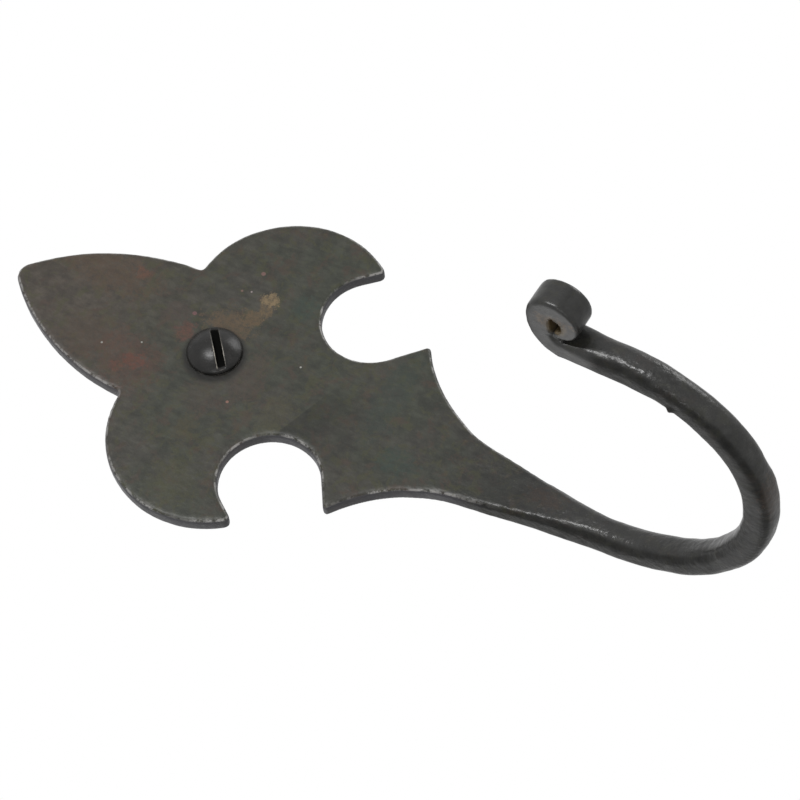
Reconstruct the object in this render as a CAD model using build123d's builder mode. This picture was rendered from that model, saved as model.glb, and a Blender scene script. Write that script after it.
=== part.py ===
from build123d import *
from math import acos, ceil, cos, degrees, radians, sin
import os

# Hand-forged coat hook and its wood screw, in millimetres. +Z runs up the wall, -Y out of the wall and
# +X to the right of someone facing it. The origin is the centre of the screw hole on the plate's back.
# A "drop" is a distance below the hole, and a "half width" is measured from the plate's middle line.

# Plate: a pointed petal between two round lobes, with a round bite under each lobe.
plate_thickness = 2.75
tip_height = 38.4
tip_rounding = 2.6
petal_radius = 38.5
notch_half_width = 13.4
notch_height = 10.1
notch_rounding = 0.6
lobe_radius = 17.1
horn_overhang = 9.1  # the horns reach this much further out than the bites' centres
horn_drop = 17.9
horn_skew = 0.3  # the right horn ends this much higher and the left one as much lower
horn_rounding = 0.9
bite_radius = 8.3
bite_half_spacing = 17.2
bite_drop = 19.9
corner_overhang = 0.4  # the lower corners reach this much further out than the bites' centres
corner_drop = 30.6
corner_skew = 0.5  # the right corner ends this much higher and the left one as much lower
corner_rounding = 0.6
edge_chamfer = 0.45

# Tail: it sweeps in from the plate's lower corners to the waist, then tapers into a square bar.
flare_radius = 27.0
waist_half_width = 5.2
waist_drop = 50.5
flat_share = 0.55  # share of the sweep that is still as thin as the plate
lean_angle = 2.6  # the tail leans to the left of the plate's middle line
lean_drop = 16.0  # where the lean starts

# Bar: a square bar with rounded corners, bent forward and up by three hammered bends.
bar_size = 5.3
bar_rounding = 2.1
bar_chamfer = 1.2  # the tail's chamfer at its lower end
bar_start_drop = 68.9
entry_radius = 32.0
ease_turn = 9.0  # first part of the entry bend, over which the tail's chamfers turn into the rounding
entry_turn = 19.5
belly_radius = 29.0
belly_turn = 69.0
toe_radius = 21.1
toe_turn = 82.5
leg_length = 11.0

# Scroll: the end of the bar is flattened to a ribbon and rolled over, away from the wall. Its arcs are
# those of the ribbon's outer face.
shoulder_radius = 5.4
shoulder_turn = 59.0
crown_radius = 9.15
crown_turn = 41.0
curl_radius = 4.35
curl_turn = 218.0
eye_radius = 2.3
eye_turn = 76.0
ribbon_thickness = 3.6
ribbon_chamfer = 0.4
lip_width = 4.7
lip_thickness = 1.1
lip_chamfer = 0.25
ribbon_run = 9.0  # length of bar over which it flattens to the ribbon
scroll_step = 1.6  # greatest distance between the scroll's sections

# Screw: a slotted round-head wood screw, No. 10 by 1 1/4 inch. Its thread is cut into the core length.
hole_clearance = 0.25
head_radius = 4.6
head_height = 2.5
head_rim = 0.6
head_rounding = 0.8
slot_width = 1.3
slot_depth = 1.6
slot_angle = 39.5
slot_offset = 0.6  # the slot was sawn this much off the head's middle
shank_radius = 2.4
shank_length = 11.0
core_radius = 1.7
core_length = 15.0
point_length = 5.75

hole_radius = shank_radius + hole_clearance
horn_half_width = bite_half_spacing + horn_overhang
corner_half_width = bite_half_spacing + corner_overhang

# The hook's own plane: x out of the wall, y up the leaning tail, z across the bar.
lean = radians(lean_angle)
hook_plane = Plane(origin=(0, 0, -lean_drop), x_dir=(0, -1, 0), z_dir=(-cos(lean), 0, sin(lean)))


def leaned(half_width, drop):
    """Where a point of the upright tail comes to lie in the front view once the tail leans."""
    below = drop - lean_drop
    return (
        half_width * cos(lean) - below * sin(lean),
        -lean_drop - half_width * sin(lean) - below * cos(lean),
    )


def horn_point(side):
    """Tip of a lobe's horn; side is 1 for the right one."""
    return (side * horn_half_width, side * horn_skew - horn_drop)


def corner_point(side):
    """Lower corner of the plate, where the flare starts."""
    return leaned(side * corner_half_width, corner_drop - side * corner_skew)


def bar_section(origin, heading, width, thickness, corner, cut=fillet):
    """Rectangle across the bar with its corners cut, its width along the hook plane's z."""
    with BuildSketch(Plane(origin=origin, x_dir=hook_plane.z_dir, z_dir=heading)) as section:
        Rectangle(width, thickness)
        cut(section.vertices(), corner)
    return section.sketch.face()


def touch_point(point, centre, side):
    """Where a line from the point touches the bite; side is 1 for the left of the line to its centre."""
    spoke = Vector(point) - Vector(centre)
    turn = side * degrees(acos(bite_radius / spoke.length))
    return Vector(centre) + spoke.normalized().rotate(Axis.Z, turn) * bite_radius


def tail_section(edge_point):
    """Section of the tail whose side passes through a point of the upright tail's edge."""
    below_seam = (seam.Y - edge_point.Y) / (seam.Y + bar_start_drop)
    thickness = plate_thickness + (bar_size - plate_thickness) * below_seam**2
    corner = edge_chamfer + (bar_chamfer - edge_chamfer) * below_seam**2
    centre = hook_plane.from_local_coords(Vector(thickness / 2, edge_point.Y + lean_drop, 0))
    return bar_section(centre, -hook_plane.y_dir, 2 * edge_point.X, thickness, corner, chamfer)


def ribbon_section(edge, share, rolled_share):
    """Section of the scroll, which thins and narrows from the ribbon to its lip."""
    thickness = lip_thickness + (ribbon_thickness - lip_thickness) * (1 - rolled_share**4)
    width = bar_size + (lip_width - bar_size) * rolled_share
    corner = ribbon_chamfer + (lip_chamfer - ribbon_chamfer) * rolled_share
    heading = edge % share
    centre = edge @ share + heading.cross(hook_plane.z_dir) * thickness / 2
    return bar_section(centre, heading, width, thickness, corner, chamfer)


# Edge of the upright tail, from the plate's corner to the waist and on to the bar's side.
flare = RadiusArc((corner_half_width, -corner_drop), (waist_half_width, -waist_drop), -flare_radius)
taper = Line((waist_half_width, -waist_drop), (bar_size / 2, -bar_start_drop))
seam = flare @ flat_share

# Centre line of the bar from the end of the tail to the scroll, then the scroll's outer face.
with BuildLine(hook_plane):
    ease = JernArc((bar_size / 2, lean_drop - bar_start_drop), (0, -1), entry_radius, ease_turn)
    entry = JernArc(ease @ 1, ease % 1, entry_radius, entry_turn)
    belly = JernArc(entry @ 1, entry % 1, belly_radius, belly_turn)
    toe = JernArc(belly @ 1, belly % 1, toe_radius, toe_turn)
    leg = Line(toe @ 1, toe @ 1 + leg_length * (toe % 1))
with BuildLine(hook_plane):
    outer_face = leg @ 1 - hook_plane.x_dir * ribbon_thickness / 2
    shoulder = JernArc(outer_face, leg % 1, shoulder_radius, -shoulder_turn)
    crown = JernArc(shoulder @ 1, shoulder % 1, crown_radius, -crown_turn)
    curl = JernArc(crown @ 1, crown % 1, curl_radius, -curl_turn)
    eye = JernArc(curl @ 1, curl % 1, eye_radius, -eye_turn)
scroll = (shoulder, crown, curl, eye)
scroll_length = sum(edge.length for edge in scroll)

with BuildPart() as hook:
    # The flat plate.
    with BuildSketch(Plane.XZ) as plate_outline:
        with BuildLine():
            for side in (1, -1):
                notch = (side * notch_half_width, notch_height)
                horn = horn_point(side)
                corner = corner_point(side)
                bite = (side * bite_half_spacing, -bite_drop)
                RadiusArc((0, tip_height), notch, side * petal_radius)
                RadiusArc(notch, horn, side * lobe_radius)
                upper = Line(horn, touch_point(horn, bite, side))
                lower = Line(corner, touch_point(corner, bite, -side))
                ThreePointArc(upper @ 1, (side * (bite_half_spacing - bite_radius), -bite_drop), lower @ 1)
                RadiusArc(corner, leaned(side * seam.X, -seam.Y), -side * flare_radius)
            Line(leaned(-seam.X, -seam.Y), leaned(seam.X, -seam.Y))
        make_face()
        fillet(plate_outline.vertices().sort_by(Axis.Y)[-1], tip_rounding)
        for side in (1, -1):
            notch = (side * notch_half_width, notch_height)
            fillet(plate_outline.vertices().sort_by_distance(notch)[0], notch_rounding)
            fillet(plate_outline.vertices().sort_by_distance(horn_point(side))[0], horn_rounding)
            fillet(plate_outline.vertices().sort_by_distance(corner_point(side))[0], corner_rounding)
    extrude(amount=plate_thickness)
    seam_face = hook.faces().sort_by(Axis.Z)[0]
    flats = hook.faces().filter_by(Axis.Y)
    chamfer(flats.edges() - seam_face.edges(), edge_chamfer)

    # The tail, whose chamfered edges turn round as it draws out into the bar.
    half_eased, bar_start, leg_start, ribbon_start = (
        bar_section(edge @ share, edge % share, bar_size, bar_size, bar_rounding)
        for edge, share in ((ease, 0.5), (entry, 0), (leg, 0), (leg, 1 - ribbon_run / leg_length))
    )
    sections = [tail_section(flare @ share) for share in (flat_share, 0.7, 0.85, 1.0)]
    sections += [tail_section(taper @ share) for share in (0.33, 0.66)]
    loft(sections + [half_eased, bar_start])

    # The bends.
    sweep(bar_start, path=Wire([entry, belly, toe]))

    # The scroll, and the leg that flattens into it.
    sections = []
    rolled = 0.0
    for edge in scroll:
        steps = ceil(edge.length / scroll_step)
        for step in range(steps):
            sections.append(ribbon_section(edge, step / steps, rolled / scroll_length))
            rolled += edge.length / steps
    sections.append(ribbon_section(eye, 1.0, 1.0))
    loft([leg_start, ribbon_start, sections[0]])
    loft(sections)

    # The screw hole.
    with Locations(Plane.XZ):
        Hole(hole_radius)
hook.part.label = "hook"

# The screw's heights along Y, from the plate's front face that its head sits on.
seat = -plate_thickness
rim = seat - head_rim
dome_top = seat - head_height
dome_height = head_height - head_rim
dome_radius = (head_radius**2 + dome_height**2) / (2 * dome_height)
shank_end = seat + shank_length
core_end = shank_end + core_length

with BuildPart() as screw:
    # Turned body, its axis along Y: domed head, plain shank, core of the thread and gimlet point.
    with BuildSketch():
        with BuildLine():
            Polyline(
                (0, dome_top),
                (0, core_end + point_length),
                (core_radius, core_end),
                (core_radius, shank_end),
                (shank_radius, shank_end),
                (shank_radius, seat),
                (head_radius, seat),
                (head_radius, rim),
            )
            RadiusArc((0, dome_top), (head_radius, rim), -dome_radius)
        profile = make_face()
        fillet(profile.vertices().sort_by_distance((head_radius, rim))[0], head_rounding)
    revolve(axis=Axis.Y)
    # Driver slot across the dome.
    slot_floor = Plane(origin=(0, dome_top + slot_depth, 0), x_dir=(1, 0, 0), z_dir=(0, -1, 0))
    with BuildSketch(slot_floor):
        with Locations(Rotation(0, 0, slot_angle) * Pos(0, -slot_offset)):
            Rectangle(3 * head_radius, slot_width)
    extrude(amount=2 * slot_depth, mode=Mode.SUBTRACT)
screw.part.label = "screw"

os.makedirs("parts", exist_ok=True)
for name, piece in (("hook", hook), ("screw", screw)):
    export_step(piece.part, f"parts/{name}.step")
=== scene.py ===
import math

import bpy
import numpy as np
from mathutils import Matrix, Vector


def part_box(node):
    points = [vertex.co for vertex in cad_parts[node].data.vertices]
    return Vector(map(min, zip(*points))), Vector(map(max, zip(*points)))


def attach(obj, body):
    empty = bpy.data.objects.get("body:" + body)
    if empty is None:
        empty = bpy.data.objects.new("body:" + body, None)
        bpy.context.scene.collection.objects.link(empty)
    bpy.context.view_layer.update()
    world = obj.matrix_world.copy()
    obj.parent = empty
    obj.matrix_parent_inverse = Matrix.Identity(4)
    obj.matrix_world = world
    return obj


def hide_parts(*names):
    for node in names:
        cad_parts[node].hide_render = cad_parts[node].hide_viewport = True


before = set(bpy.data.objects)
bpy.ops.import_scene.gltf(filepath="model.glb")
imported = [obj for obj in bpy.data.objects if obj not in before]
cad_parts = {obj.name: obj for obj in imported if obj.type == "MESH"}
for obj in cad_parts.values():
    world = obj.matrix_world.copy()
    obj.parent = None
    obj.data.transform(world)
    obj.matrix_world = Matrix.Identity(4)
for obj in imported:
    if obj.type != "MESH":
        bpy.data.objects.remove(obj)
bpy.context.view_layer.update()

# Meshes are worked on in millimetres, in the CAD frame: +X to the right of someone facing the wall,
# -Y out of the wall, +Z up. Blender's own lengths are metres.
MM = 0.001
rng = np.random.default_rng(7)

# ---------------------------------------------------------------- mesh helpers


def remeshed(node, name, voxel, smoothing):
    """An even, closed mesh of a CAD node, as (object, points in mm, normals, edges).

    The voxel is in mm, and smoothing is a number of passes.
    """
    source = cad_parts[node].data.copy()
    piece = bpy.data.objects.new(name, source)
    bpy.context.scene.collection.objects.link(piece)
    weld = piece.modifiers.new("weld", "WELD")
    weld.merge_threshold = 0.002 * MM
    grid = piece.modifiers.new("grid", "REMESH")
    grid.mode = "VOXEL"
    grid.voxel_size = voxel * MM
    grid.use_smooth_shade = True
    bpy.context.view_layer.update()
    depsgraph = bpy.context.evaluated_depsgraph_get()
    mesh = bpy.data.meshes.new_from_object(piece.evaluated_get(depsgraph))
    piece.modifiers.clear()
    piece.data = mesh
    mesh.name = name
    mesh.materials.clear()
    points, edges = read(mesh)
    for _ in range(smoothing):
        points = points + 0.5 * (neighbour_mean(points, edges) - points)
    write(mesh, points)
    return piece, points, normals_of(mesh), edges


def read(mesh):
    """The mesh's points in mm and its edges."""
    points = np.zeros(len(mesh.vertices) * 3, np.float32)
    mesh.vertices.foreach_get("co", points)
    edges = np.zeros(len(mesh.edges) * 2, np.int32)
    mesh.edges.foreach_get("vertices", edges)
    return points.reshape(-1, 3).astype(float) / MM, edges.reshape(-1, 2)


def write(mesh, points):
    """Move the mesh's points to those places in mm."""
    mesh.vertices.foreach_set("co", (points * MM).astype(np.float32).ravel())
    mesh.update()


def normals_of(mesh):
    normals = np.zeros(len(mesh.vertices) * 3, np.float32)
    mesh.vertices.foreach_get("normal", normals)
    return normals.reshape(-1, 3).astype(float)


def neighbour_mean(values, edges):
    """For each point, the mean of the values at the points it shares an edge with."""
    values = np.asarray(values, float)
    flat = values.reshape(len(values), -1)
    total = np.zeros_like(flat)
    count = np.bincount(edges.ravel(), minlength=len(flat))[:, None]
    for axis in range(flat.shape[1]):
        total[:, axis] = np.bincount(edges[:, 0], flat[edges[:, 1], axis], len(flat))
        total[:, axis] += np.bincount(edges[:, 1], flat[edges[:, 0], axis], len(flat))
    return (total / np.maximum(count, 1)).reshape(values.shape)


def spread(values, edges, times):
    """The values blurred over the mesh, so many times."""
    for _ in range(times):
        values = 0.5 * values + 0.5 * neighbour_mean(values, edges)
    return values


def keep(mesh, name, values):
    """Store a value per point for the material to read."""
    layer = mesh.attributes.new(name, "FLOAT", "POINT")
    layer.data.foreach_set("value", values.astype(np.float32))


def bends(points, normals, edges, times):
    """How far each point stands above its surroundings, in mm; edges are positive, hollows negative."""
    lift = np.einsum("ij,ij->i", points - neighbour_mean(points, edges), normals)
    return spread(lift, edges, times)


def lattice_noise(points, size, seed):
    """Smooth noise of about -1 to 1 with features of that size in mm."""
    draw = np.random.default_rng(seed)
    table = draw.uniform(-1, 1, (32, 32, 32))
    spot = points / size + draw.uniform(0, 32, 3)
    cell = np.floor(spot).astype(int)
    part = spot - cell
    part = part * part * (3 - 2 * part)
    out = np.zeros(len(points))
    for corner in range(8):
        step = np.array([corner & 1, corner >> 1 & 1, corner >> 2 & 1])
        weight = np.prod(np.where(step, part, 1 - part), axis=1)
        i, j, k = ((cell + step) % 32).T
        out += weight * table[i, j, k]
    return out


def smooth(low, high, value):
    """0 at low and 1 at high, with a smooth step between; low may be the greater."""
    share = np.clip((value - low) / (high - low), 0, 1)
    return share * share * (3 - 2 * share)


# ---------------------------------------------------------------- hook

# Sizes in mm.
hook_voxel, hook_quick_voxel = 0.32, 0.5
hammer_blows = 260
blow_radii = (1.3, 3.0)
blow_depth = 0.055  # of a blow 2 mm in radius; the depth grows with the radius
blow_reach = 6  # square of the distance, in blow radii, past which a blow is left out
swell_height, ripple_height, fine_height = 0.10, 0.045, 0.03
burr_place = np.array([-5.8, -52.05, -85.0])
burr_radius, burr_height = 0.5, 0.5
EYE = (-3.4, -59.4, -66.2)  # middle of the scroll's eye
scale_thickness, scale_unevenness = 0.45, 0.1
scale_reach, scale_edge = 2.2, 2.6  # distances from the eye's middle: full inside one, none past the other

hook, points, normals, edges = remeshed(
    "hook", "forged_hook", hook_voxel, smoothing=2
)

# Where the dents may go: not under the screw head and not on the flat back, and less on the scroll.
around_screw = np.hypot(points[:, 0], points[:, 2])
free = smooth(5.0, 9.0, around_screw) * smooth(0.1, 0.8, -points[:, 1])
on_bar = smooth(40.0, 52.0, -points[:, 2])
at_scroll = smooth(-52.0, -54.0, points[:, 1]) * smooth(-74.0, -70.0, points[:, 2])
blow_strength = 0.25 + 1.2 * on_bar
scroll_calm = 1 - 0.65 * at_scroll

swell = swell_height * lattice_noise(points, 9.0, 1) + ripple_height * lattice_noise(points, 3.5, 2)
fine = fine_height * lattice_noise(points, 1.3, 3) * on_bar
blows = points[rng.choice(len(points), hammer_blows, replace=False)]
dents = np.zeros(len(points))
for spot, size in zip(blows, rng.uniform(*blow_radii, len(blows))):
    away = ((points - spot) ** 2).sum(1) / size**2
    near = away < blow_reach
    dents[near] -= blow_depth * size / 2 * np.exp(-away[near])
height = free * (swell + fine + dents * blow_strength) * scroll_calm

# A small burr on the inner edge of the return leg.
from_burr = ((points - burr_place) ** 2).sum(1) / burr_radius**2
height += burr_height * np.exp(-from_burr)

# Scale on the walls of the scroll's eye.
in_eye = points[:, 1:] - EYE[1:]
from_eye = np.linalg.norm(in_eye, axis=1)
faces_eye = -np.einsum("ij,ij->i", in_eye, normals[:, 1:]) / np.maximum(from_eye, 0.1)
scale = scale_thickness + scale_unevenness * lattice_noise(points, 1.1, 4)
height += scale * smooth(scale_edge, scale_reach, from_eye) * smooth(0.3, 0.7, faces_eye)
points = points + normals * height[:, None]
write(hook.data, points)

# For the material: how far a point faces out of the wall, the bar's left side, and broad hollows.
normals = normals_of(hook.data)
rise = bends(points, normals, edges, 2)
keep(hook.data, "facing", spread(-normals[:, 1], edges, 1))
keep(hook.data, "left_side", smooth(0.4, 0.8, -normals[:, 0]) * on_bar * (1 - at_scroll))
keep(hook.data, "broad", spread(rise, edges, 12))
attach(hook, "root")
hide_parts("hook")

# ---------------------------------------------------------------- screw

# Sizes in mm. The screw's axis is the Y axis, and its point is at the +Y end.
screw_voxel, screw_quick_voxel = 0.11, 0.2
pitch, thread_depth = 1.95, 0.68
thread_length, point_length = 15.0, 5.75
dome_radius = 6.52  # of the head's dome
slot_limit, head_limit = -2.8, -3.0  # the slot and the head's outside lie on the -Y side of these
head_unevenness = 0.02

screw, points, normals, edges = remeshed(
    "screw", "wood_screw", screw_voxel, smoothing=1
)
head_top, point_end = (corner[1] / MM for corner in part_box("screw"))
core_end = point_end - point_length
shank_end = core_end - thread_length
dome_centre = head_top + dome_radius

# The thread, raised from the core in a helix that starts at the shank and fades toward the point.
turn = np.arctan2(points[:, 2], points[:, 0]) / (2 * math.pi)
phase = np.mod(points[:, 1] / pitch - turn, 1.0)
crest = smooth(0.42, 0.95, 1 - np.abs(2 * phase - 1))
run_in = smooth(shank_end + 0.1, shank_end + 1.6, points[:, 1])
run_out = 1 - smooth(core_end, point_end - 0.2, points[:, 1])
lift = thread_depth * crest * run_in * (0.25 + 0.75 * run_out)
radius = np.hypot(points[:, 0], points[:, 2])
side = (np.abs(normals[:, 1]) < 0.9) & (points[:, 1] > shank_end)
lift = np.where(side, lift, 0)
points[:, 0] += points[:, 0] / np.maximum(radius, 0.05) * lift
points[:, 2] += points[:, 2] / np.maximum(radius, 0.05) * lift
head_height = head_unevenness * lattice_noise(points, 1.6, 5) * (points[:, 1] < head_limit)
points += normals * head_height[:, None]
write(screw.data, points)

# For the material: the head's edges, the slot's walls and floor, and broad hollows.
normals = normals_of(screw.data)
rise = bends(points, normals, edges, 2)
keep(screw.data, "rise", rise)
from_centre = np.sqrt(points[:, 0] ** 2 + points[:, 2] ** 2 + (points[:, 1] - dome_centre) ** 2)
in_slot = smooth(0.1, 0.5, dome_radius - from_centre) * smooth(4.4, 4.1, radius)
keep(screw.data, "in_slot", in_slot * (points[:, 1] < slot_limit))
keep(screw.data, "broad", spread(rise, edges, 8))
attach(screw, "root")
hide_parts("screw")

# ---------------------------------------------------------------- materials


def srgb(*levels):
    """A colour given as 0-255 levels, as linear RGBA."""
    unit = [level / 255 for level in levels]
    return [u / 12.92 if u <= 0.04045 else ((u + 0.055) / 1.055) ** 2.4 for u in unit] + [1.0]


class Graph:
    """Short calls for building one material's nodes."""

    def __init__(self, name):
        self.material = bpy.data.materials.new(name)
        self.material.use_nodes = True
        self.tree = self.material.node_tree
        self.tree.nodes.clear()
        out = self.add("ShaderNodeOutputMaterial")
        self.shader = self.add("ShaderNodeBsdfPrincipled")
        self.tree.links.new(self.shader.outputs[0], out.inputs[0])
        place = self.add("ShaderNodeTexCoord").outputs["Object"]
        self.place = self.vector("SCALE", place, scale=1 / MM)

    def add(self, kind, **settings):
        node = self.tree.nodes.new(kind)
        for key, value in settings.items():
            setattr(node, key, value)
        return node

    def put(self, socket, value):
        """Link another node's output to the socket, or set the socket to a constant."""
        if isinstance(value, bpy.types.NodeSocket):
            self.tree.links.new(value, socket)
        else:
            socket.default_value = value

    def vector(self, operation, a, b=None, scale=None):
        node = self.add("ShaderNodeVectorMath", operation=operation)
        self.put(node.inputs[0], a)
        if b is not None:
            self.put(node.inputs[1], b)
        if scale is not None:
            self.put(node.inputs["Scale"], scale)
        return node.outputs["Value" if operation == "LENGTH" else "Vector"]

    def math(self, operation, a, b):
        node = self.add("ShaderNodeMath", operation=operation)
        self.put(node.inputs[0], a)
        self.put(node.inputs[1], b)
        return node.outputs[0]

    def noise(self, size, detail=3.0, rough=0.5, place=None, distortion=0.0):
        """Noise of about 0 to 1 with features of that size in mm."""
        node = self.add("ShaderNodeTexNoise")
        self.put(node.inputs["Vector"], self.place if place is None else place)
        node.inputs["Scale"].default_value = 1 / size
        node.inputs["Detail"].default_value = detail
        node.inputs["Roughness"].default_value = rough
        node.inputs["Distortion"].default_value = distortion
        return node.outputs["Fac"]

    def step(self, value, low, high, to_low=0.0, to_high=1.0):
        """A smooth step from to_low, where the value is low, to to_high, where it is high."""
        node = self.add("ShaderNodeMapRange", interpolation_type="SMOOTHSTEP")
        self.put(node.inputs["Value"], value)
        node.inputs["From Min"].default_value = low
        node.inputs["From Max"].default_value = high
        node.inputs["To Min"].default_value = to_low
        node.inputs["To Max"].default_value = to_high
        return node.outputs["Result"]

    def mix(self, share, a, b):
        node = self.add("ShaderNodeMix", data_type="RGBA")
        self.put(node.inputs["Factor"], share)
        self.put(node.inputs[6], a)
        self.put(node.inputs[7], b)
        return node.outputs[2]

    def scaled(self, colour, factor):
        return self.vector("SCALE", colour, scale=factor)

    def split(self, value):
        node = self.add("ShaderNodeSeparateXYZ")
        self.put(node.inputs[0], value)
        return node.outputs

    def attribute(self, name):
        return self.add("ShaderNodeAttribute", attribute_name=name).outputs["Fac"]

    def spot(self, centre, radii, wobble):
        """A soft patch around a place in mm; wobble is a noise that breaks up its edge."""
        away = self.vector("SUBTRACT", self.place, centre)
        scaled = self.vector("DIVIDE", away, radii)
        far = self.vector("LENGTH", scaled)
        return self.step(self.math("ADD", far, wobble), 1.25, 0.85)


# Patches of rust, wax and heat tint on the plate's front: centre and radii across and up in mm, sRGB
# colour, strength.
PLATE_FRONT, PATCH_DEPTH, SPECK_DEPTH = -2.7, 1.5, 1.0
PLATE_PATCHES = [
    ((-8.0, 12.0), (4.6, 5.4), (70, 52, 44), 0.6),
    ((-7.2, 11.0), (1.3, 1.9), (88, 52, 42), 0.6),
    ((-9.4, 13.2), (0.9, 1.1), (86, 54, 44), 0.55),
    ((-6.0, 20.5), (4.0, 4.4), (66, 54, 44), 0.5),
    ((-4.6, 15.5), (2.2, 1.8), (72, 56, 48), 0.5),
    ((6.5, 24.0), (3.4, 8.0), (72, 58, 46), 0.6),
    ((8.5, 18.5), (1.1, 1.4), (88, 60, 48), 0.6),
    ((1.5, 6.4), (1.7, 1.5), (88, 58, 50), 0.65),
    ((3.6, 9.5), (2.4, 2.0), (64, 52, 48), 0.5),
    ((-2.0, -7.5), (5.0, 2.4), (64, 54, 48), 0.6),
    ((-8.0, -2.0), (3.0, 2.6), (60, 52, 46), 0.5),
    ((5.8, 0.4), (2.6, 3.6), (78, 66, 52), 1.0),
    ((8.4, -2.2), (2.0, 1.5), (82, 69, 53), 1.0),
    ((11.0, -3.4), (1.6, 1.1), (88, 75, 57), 1.0),
    ((13.0, -3.2), (1.2, 1.5), (112, 97, 74), 1.0),
    ((14.0, -9.0), (2.2, 2.0), (46, 58, 52), 0.6),
    ((-5.0, -36.5), (2.2, 3.0), (40, 54, 49), 0.55),
    ((5.0, -30.0), (8.0, 2.4), (42, 52, 47), 0.5),
    ((-15.0, -3.0), (2.6, 1.8), (64, 58, 42), 0.5),
    ((-24.5, -6.0), (3.4, 3.6), (58, 58, 40), 0.5),
    ((-6.5, -14.5), (4.0, 2.0), (64, 62, 47), 0.6),
]

# The same on the bar and the scroll, with centre and radii along X, Y and Z.
BAR_PATCHES = [
    ((-1.5, -3.0, -62.0), (2.0, 2.0, 3.6), (58, 44, 34), 0.4),
    ((-5.0, -60.5, -66.0), (1.6, 1.6, 2.6), (86, 70, 50), 0.9),
    ((-3.6, -38.0, -101.0), (3.0, 4.0, 2.0), (62, 46, 34), 0.45),
]

# Specks on the plate's front, the three pale grey ones painted glints and the pinkish ones the plate's own
# tint: centre and size in mm, sRGB colour.
GLINTS_AND_SPECKS = [
    ((-6.5, 17.6), 0.17, (135, 135, 130)),
    ((-3.6, 11.7), 0.15, (135, 135, 130)),
    ((3.7, -14.0), 0.16, (150, 150, 145)),
    ((17.0, 0.5), 0.36, (98, 76, 72)),
    ((13.0, 0.5), 0.16, (130, 120, 120)),
    ((12.5, 2.0), 0.2, (98, 78, 72)),
    ((5.2, 6.8), 0.36, (92, 68, 68)),
    ((-7.4, -6.6), 0.24, (118, 88, 78)),
]

# Brown tint in the scroll's eye, and a painted shadow round and below the screw head, in mm.
EYE_RADII = (3.6, 1.75, 1.6)
HEAD_SHADOW_OFFSET = (0.55, 0, 0.3)  # the ring's centre lies this far left of and below the screw's
HEAD_SHADOW_OUTER, HEAD_SHADOW_INNER = 5.9, 4.6


def ground_colour(g, height, mottle):
    """Olive black, warmer up the petal and darker down the bar, mottled and streaked."""
    broad_noise = g.noise(9.0, 3.0, 0.6)
    streaks = g.noise(1.0, 5.0, 0.6, g.vector("MULTIPLY", g.place, (1.0, 1.0, 0.3)))
    colour = g.mix(g.step(broad_noise, 0.38, 0.62), srgb(50, 52, 45), srgb(54, 53, 48))
    colour = g.mix(g.step(height, 0.0, 28.0, 0.0, 0.8), colour, srgb(63, 57, 51))
    colour = g.mix(g.step(height, -30.0, -66.0, 0.0, 1.0), colour, srgb(36, 36, 35))
    colour = g.mix(g.step(mottle, 0.32, 0.68), g.scaled(colour, 0.7), g.scaled(colour, 1.27))
    return g.mix(g.step(streaks, 0.35, 0.65), g.scaled(colour, 0.85), g.scaled(colour, 1.16))


def add_stains(g, colour, height):
    """Clouds of olive and brown, fainter on the bar, then the patches and the brown eye."""
    tinted = g.step(height, -62.0, -45.0, 0.12, 0.5)
    olive = g.step(g.noise(2.0, 5.0, 0.7, distortion=0.6), 0.5, 0.62)
    colour = g.mix(g.math("MULTIPLY", olive, tinted), colour, srgb(60, 60, 40))
    brown = g.step(g.noise(3.1, 6.0, 0.75, distortion=0.4), 0.52, 0.63)
    colour = g.mix(g.math("MULTIPLY", brown, tinted), colour, srgb(64, 51, 44))
    wobble = g.math("SUBTRACT", g.math("MULTIPLY", g.noise(1.1, 7.0, 0.85), 5.0), 2.5)
    speckle = g.step(g.noise(0.7, 4.0, 0.7), 0.36, 0.6, 0.35, 1.0)
    patches = [
        ((x, PLATE_FRONT, z), (wide, PATCH_DEPTH, high), tint, strength)
        for (x, z), (wide, high), tint, strength in PLATE_PATCHES
    ]
    for centre, radii, tint, strength in patches + BAR_PATCHES:
        share = g.math("MULTIPLY", g.spot(centre, radii, wobble), speckle)
        colour = g.mix(g.math("MULTIPLY", share, strength), colour, srgb(*tint))
    eye = g.spot(EYE, EYE_RADII, 0.0)
    return g.mix(g.math("MULTIPLY", eye, 0.85), colour, srgb(84, 72, 51))


def add_marks(g, colour, across, height, grain):
    """Painted shade below a faint fold across the plate, then grain, specks of painted glint and of tint,
    and a painted shadow under the screw head.
    """
    # Painted shade: the plate darkened below a faint fold line, fading over 16 mm, standing in for a
    # slight bend away from the light.
    line = g.math("ADD", g.math("MULTIPLY", across, 0.36), g.math("ADD", height, 20.0))
    shade = g.math("MULTIPLY", g.step(line, 0.1, -0.15), g.step(line, -16.0, 0.0))
    span = g.math("MULTIPLY", g.step(across, 5.0, -3.0), g.step(across, -12.0, -9.5))
    shade = g.math("MULTIPLY", shade, span)
    colour = g.mix(shade, colour, g.scaled(colour, 0.6))
    colour = g.mix(g.step(grain, 0.58, 0.8, 0.0, 0.3), colour, g.scaled(colour, 1.35))
    # The pale grey specks are painted glints; the pinkish ones are real tint.
    for (x, z), size, tint in GLINTS_AND_SPECKS:
        speck = g.spot((x, PLATE_FRONT, z), (size, SPECK_DEPTH, size), 0.0)
        colour = g.mix(speck, colour, srgb(*tint))
    # Painted shadow: a dark ring round the screw head, shifted below it, standing in for the head's shadow
    # on the plate.
    beside_head = g.vector("MULTIPLY", g.vector("ADD", g.place, HEAD_SHADOW_OFFSET), (1, 0, 1))
    from_head = g.vector("LENGTH", beside_head)
    head_shadow = g.step(from_head, HEAD_SHADOW_OUTER, HEAD_SHADOW_INNER, 0.0, 0.85)
    return g.mix(head_shadow, colour, srgb(14, 13, 12))


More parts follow.
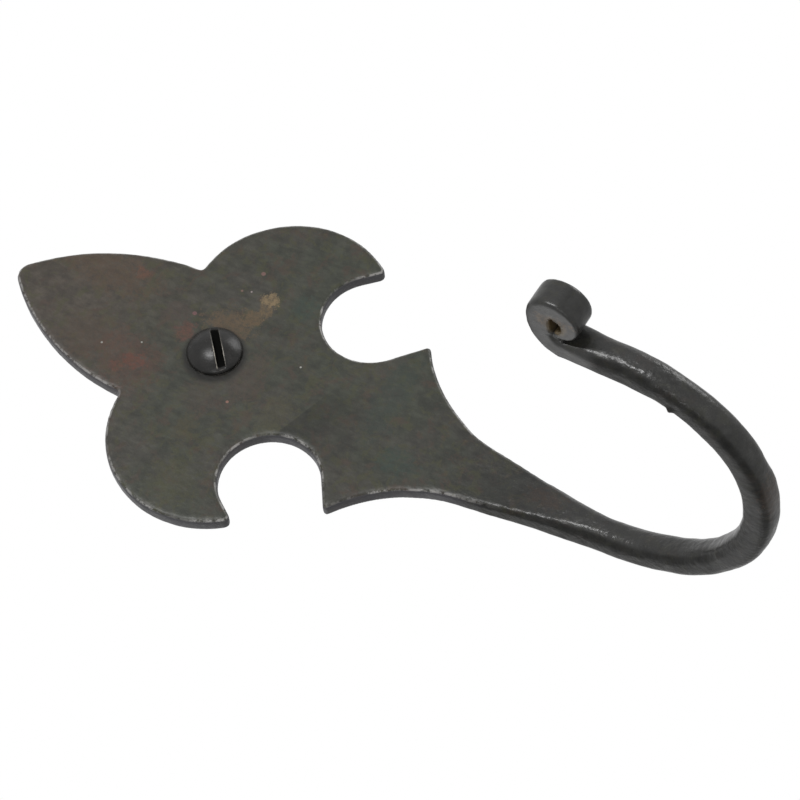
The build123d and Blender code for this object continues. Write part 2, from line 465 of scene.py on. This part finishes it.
def worn_edge(g, facing, on_plate):
    """Where the plate's front edge is chipped and rubbed bright."""
    front_edge = g.math("MULTIPLY", g.step(facing, 0.45, 0.65), g.step(facing, 0.95, 0.82))
    chips = g.step(g.noise(1.4, 5.0, 0.8), 0.42, 0.56)
    wear = g.step(g.noise(7.0, 2.0, 0.5), 0.4, 0.55, 0.3, 1.0)
    worn = g.math("MULTIPLY", g.math("MULTIPLY", chips, wear), front_edge)
    return g.math("MULTIPLY", worn, on_plate)


def add_wear(g, colour, facing, on_plate, worn):
    """Dirt in the hollows, painted light on the plate's sides and back, and its worn front edge."""
    hollow = g.step(g.attribute("broad"), -0.004, -0.018)
    colour = g.mix(g.math("MULTIPLY", hollow, 0.6), colour, srgb(28, 22, 16))
    # Painted light: the plate's sides and back made paler, standing in for the light they catch.
    painted_side_light = g.math("MULTIPLY", on_plate, g.step(facing, 0.72, 0.5))
    colour = g.mix(g.math("MULTIPLY", painted_side_light, 0.7), colour, srgb(70, 69, 74))
    return g.mix(g.math("MULTIPLY", worn, 0.7), colour, srgb(158, 156, 154))


def pit(g, out, height, grain):
    """Bump of pits, strongest on the bar and calmer at its lowest bend and on the scroll."""
    rough_bar = g.step(height, -40.0, -58.0, 0.45, 1.0)
    rolled = g.math("MULTIPLY", g.step(out, -51.0, -55.0), g.step(height, -76.0, -70.0))
    calm = g.math("MULTIPLY", g.step(height, -84.0, -94.0), 0.4)
    calm = g.math("ADD", calm, g.math("MULTIPLY", rolled, 0.65))
    bump = g.add("ShaderNodeBump")
    g.put(bump.inputs["Distance"], 0.16 * MM)
    g.put(bump.inputs["Strength"], g.math("SUBTRACT", rough_bar, calm))
    g.put(bump.inputs["Height"], g.math("ADD", g.noise(1.0, 2.0, 0.5), g.math("MULTIPLY", grain, 0.12)))
    g.put(g.shader.inputs["Normal"], bump.outputs["Normal"])


def forged_material():
    """Waxed, heat-tinted black steel."""
    g = Graph("forged_steel_waxed")
    shader = g.shader
    across, out, height = g.split(g.place)
    mottle = g.noise(2.4, 6.0, 0.65)
    grain = g.noise(0.45, 4.0, 0.65)
    facing = g.attribute("facing")
    on_plate = g.step(height, -56.0, -46.0)
    worn = worn_edge(g, facing, on_plate)

    colour = ground_colour(g, height, mottle)
    colour = add_stains(g, colour, height)
    colour = add_marks(g, colour, across, height, grain)
    colour = add_wear(g, colour, facing, on_plate, worn)
    g.put(shader.inputs["Base Color"], colour)
    g.put(shader.inputs["Metallic"], 0.0)

    # Glossier on the bar, but not on its left side, and smoother there and on the worn edge.
    gloss = g.step(g.attribute("left_side"), 0.0, 1.0, 0.27, 0.08)
    gloss = g.math("MULTIPLY", gloss, g.step(height, -56.0, -66.0, 1.0, 1.3))
    g.put(shader.inputs["Specular IOR Level"], gloss)
    rough = g.step(mottle, 0.25, 0.75, 0.50, 0.36)
    rough = g.math("SUBTRACT", rough, g.step(height, -40.0, -60.0, 0.0, 0.11))
    rough = g.math("SUBTRACT", rough, g.math("MULTIPLY", worn, 0.1))
    g.put(shader.inputs["Roughness"], rough)
    pit(g, out, height, grain)
    return g.material


def screw_material():
    """Blackened steel, its head's edges worn bright, with a painted highlight on their lower left."""
    g = Graph("screw_steel_aged")
    shader = g.shader
    mottle = g.noise(1.3, 5.0, 0.6)
    grain = g.noise(0.3, 4.0, 0.6)
    across, _, height = g.split(g.place)
    rise, broad, in_slot = g.attribute("rise"), g.attribute("broad"), g.attribute("in_slot")

    # Black, browner in the hollows, worn bright on its edges with a painted highlight on their lower left,
    # and painted shade in the slot.
    colour = g.mix(g.step(mottle, 0.3, 0.7), srgb(20, 20, 19), srgb(34, 33, 32))
    hollow = g.step(broad, -0.002, -0.008)
    colour = g.mix(g.math("MULTIPLY", hollow, 0.6), colour, srgb(40, 34, 29))
    # Painted highlight: the worn edges are made brightest on the head's lower left.
    glint_side = g.step(g.math("ADD", across, height), 0.4, -1.6)
    worn = g.math("MULTIPLY", g.step(rise, 0.004, 0.012), g.step(mottle, 0.3, 0.55))
    worn = g.math("MULTIPLY", worn, g.math("ADD", g.math("MULTIPLY", glint_side, 0.7), 0.15))
    colour = g.mix(worn, colour, srgb(168, 162, 152))
    # Painted shade: the slot's walls and floor made near black and barely glossy.
    colour = g.mix(in_slot, colour, srgb(8, 8, 7))
    g.put(shader.inputs["Base Color"], colour)

    g.put(shader.inputs["Metallic"], 0.0)
    g.put(shader.inputs["Specular IOR Level"], g.step(in_slot, 0.2, 0.8, 0.26, 0.02))
    g.put(shader.inputs["Roughness"], g.step(mottle, 0.25, 0.75, 0.36, 0.24))
    bump = g.add("ShaderNodeBump")
    g.put(bump.inputs["Strength"], 0.4)
    g.put(bump.inputs["Distance"], 0.06 * MM)
    g.put(bump.inputs["Height"], grain)
    g.put(shader.inputs["Normal"], bump.outputs["Normal"])
    return g.material


hook.data.materials.append(forged_material())
screw.data.materials.append(screw_material())

# ---------------------------------------------------------------- floor, world, lights and camera

# In metres from here on.
FLOOR_HEIGHT = -0.36
FLOOR_GLOW = 0.3  # as seen by the camera and in reflections
AMBIENT = 0.22  # the world's light on the object; the camera and reflections see it white

floor_mesh = bpy.data.meshes.new("floor")
corners = [(x, y, FLOOR_HEIGHT) for x, y in ((-3, -3), (3, -3), (3, 3), (-3, 3))]
floor_mesh.from_pydata(corners, [], [(0, 1, 2, 3)])
floor = bpy.data.objects.new("floor", floor_mesh)
bpy.context.scene.collection.objects.link(floor)


def seen(tree):
    """1 for camera, glossy and transmission rays, which see the pale surroundings; 0 for the light's."""
    path = tree.nodes.new("ShaderNodeLightPath")
    share = path.outputs["Is Camera Ray"]
    for kind in ("Is Glossy Ray", "Is Transmission Ray"):
        node = tree.nodes.new("ShaderNodeMath")
        node.operation = "MAXIMUM"
        tree.links.new(share, node.inputs[0])
        tree.links.new(path.outputs[kind], node.inputs[1])
        share = node.outputs[0]
    return share


pale = bpy.data.materials.new("pale_floor")
pale.use_nodes = True
tree = pale.node_tree
surface = tree.nodes["Principled BSDF"]
surface.inputs["Base Color"].default_value = (0.82, 0.82, 0.81, 1)
surface.inputs["Roughness"].default_value = 0.9
glow = tree.nodes.new("ShaderNodeMath")
glow.operation = "MULTIPLY"
tree.links.new(seen(tree), glow.inputs[0])
glow.inputs[1].default_value = FLOOR_GLOW
surface.inputs["Emission Color"].default_value = (1, 1, 1, 1)
tree.links.new(glow.outputs[0], surface.inputs["Emission Strength"])
floor_mesh.materials.append(pale)

world = bpy.data.worlds.new("studio")
bpy.context.scene.world = world
world.use_nodes = True
tree = world.node_tree
tree.nodes.clear()
out = tree.nodes.new("ShaderNodeOutputWorld")
blend = tree.nodes.new("ShaderNodeMixShader")
ambient = tree.nodes.new("ShaderNodeBackground")
white = tree.nodes.new("ShaderNodeBackground")
ambient.inputs["Color"].default_value = (1, 1, 1, 1)
ambient.inputs["Strength"].default_value = AMBIENT
white.inputs["Color"].default_value = (1, 1, 1, 1)
white.inputs["Strength"].default_value = 1.0
tree.links.new(seen(tree), blend.inputs[0])
tree.links.new(ambient.outputs[0], blend.inputs[1])
tree.links.new(white.outputs[0], blend.inputs[2])
tree.links.new(blend.outputs[0], out.inputs[0])

# The camera's axes in the CAD frame, solved from the photograph: right and up in the picture, and back
# from the object toward the camera.
RIGHT = Vector((0.4766, 0.0582, -0.8772))
UP = Vector((0.7528, -0.5424, 0.3730))
BACK = Vector((-0.4540, -0.8381, -0.3023))
CAMERA_PLACE = (-0.2723, -0.51515, -0.2163)
CAMERA_LENS, CAMERA_SENSOR = 171.26, 36  # in mm
MIDDLE = Vector((0, -0.02, -0.032))  # of the hook


def lamp(name, direction, distance, size, power):
    """An area lamp, so wide and high, that shines on the middle of the hook from that direction."""
    data = bpy.data.lights.new(name, "AREA")
    data.shape = "RECTANGLE"
    data.size, data.size_y = size
    data.energy = power
    lamp_object = bpy.data.objects.new(name, data)
    place = MIDDLE + direction.normalized() * distance
    aim = direction.to_track_quat("Z", "Y").to_matrix().to_4x4()
    lamp_object.matrix_world = Matrix.Translation(place) @ aim
    bpy.context.scene.collection.objects.link(lamp_object)


lamp("key", 0.53 * UP + 0.77 * BACK - 0.35 * RIGHT, 0.8, (0.12, 0.3), 4.6)
lamp("bounce", -0.9 * UP - 0.3 * BACK - 0.3 * RIGHT, 0.7, (0.5, 0.5), 0.6)
lamp("edge", -0.41 * UP + 0.9 * BACK - 0.13 * RIGHT, 0.8, (0.1, 0.1), 0.9)
lamp("rim", 0.8 * UP - 0.05 * BACK + 0.6 * RIGHT, 0.8, (0.35, 0.35), 2.0)

camera_data = bpy.data.cameras.new("camera")
camera_data.lens = CAMERA_LENS
camera_data.sensor_width = CAMERA_SENSOR
camera_data.clip_start = 0.01
camera = bpy.data.objects.new("camera", camera_data)
turned = Matrix((RIGHT, UP, BACK)).transposed()
camera.matrix_world = Matrix.Translation(CAMERA_PLACE) @ turned.to_4x4()
bpy.context.scene.collection.objects.link(camera)
bpy.context.scene.camera = camera
bpy.context.scene.view_settings.view_transform = "Standard"
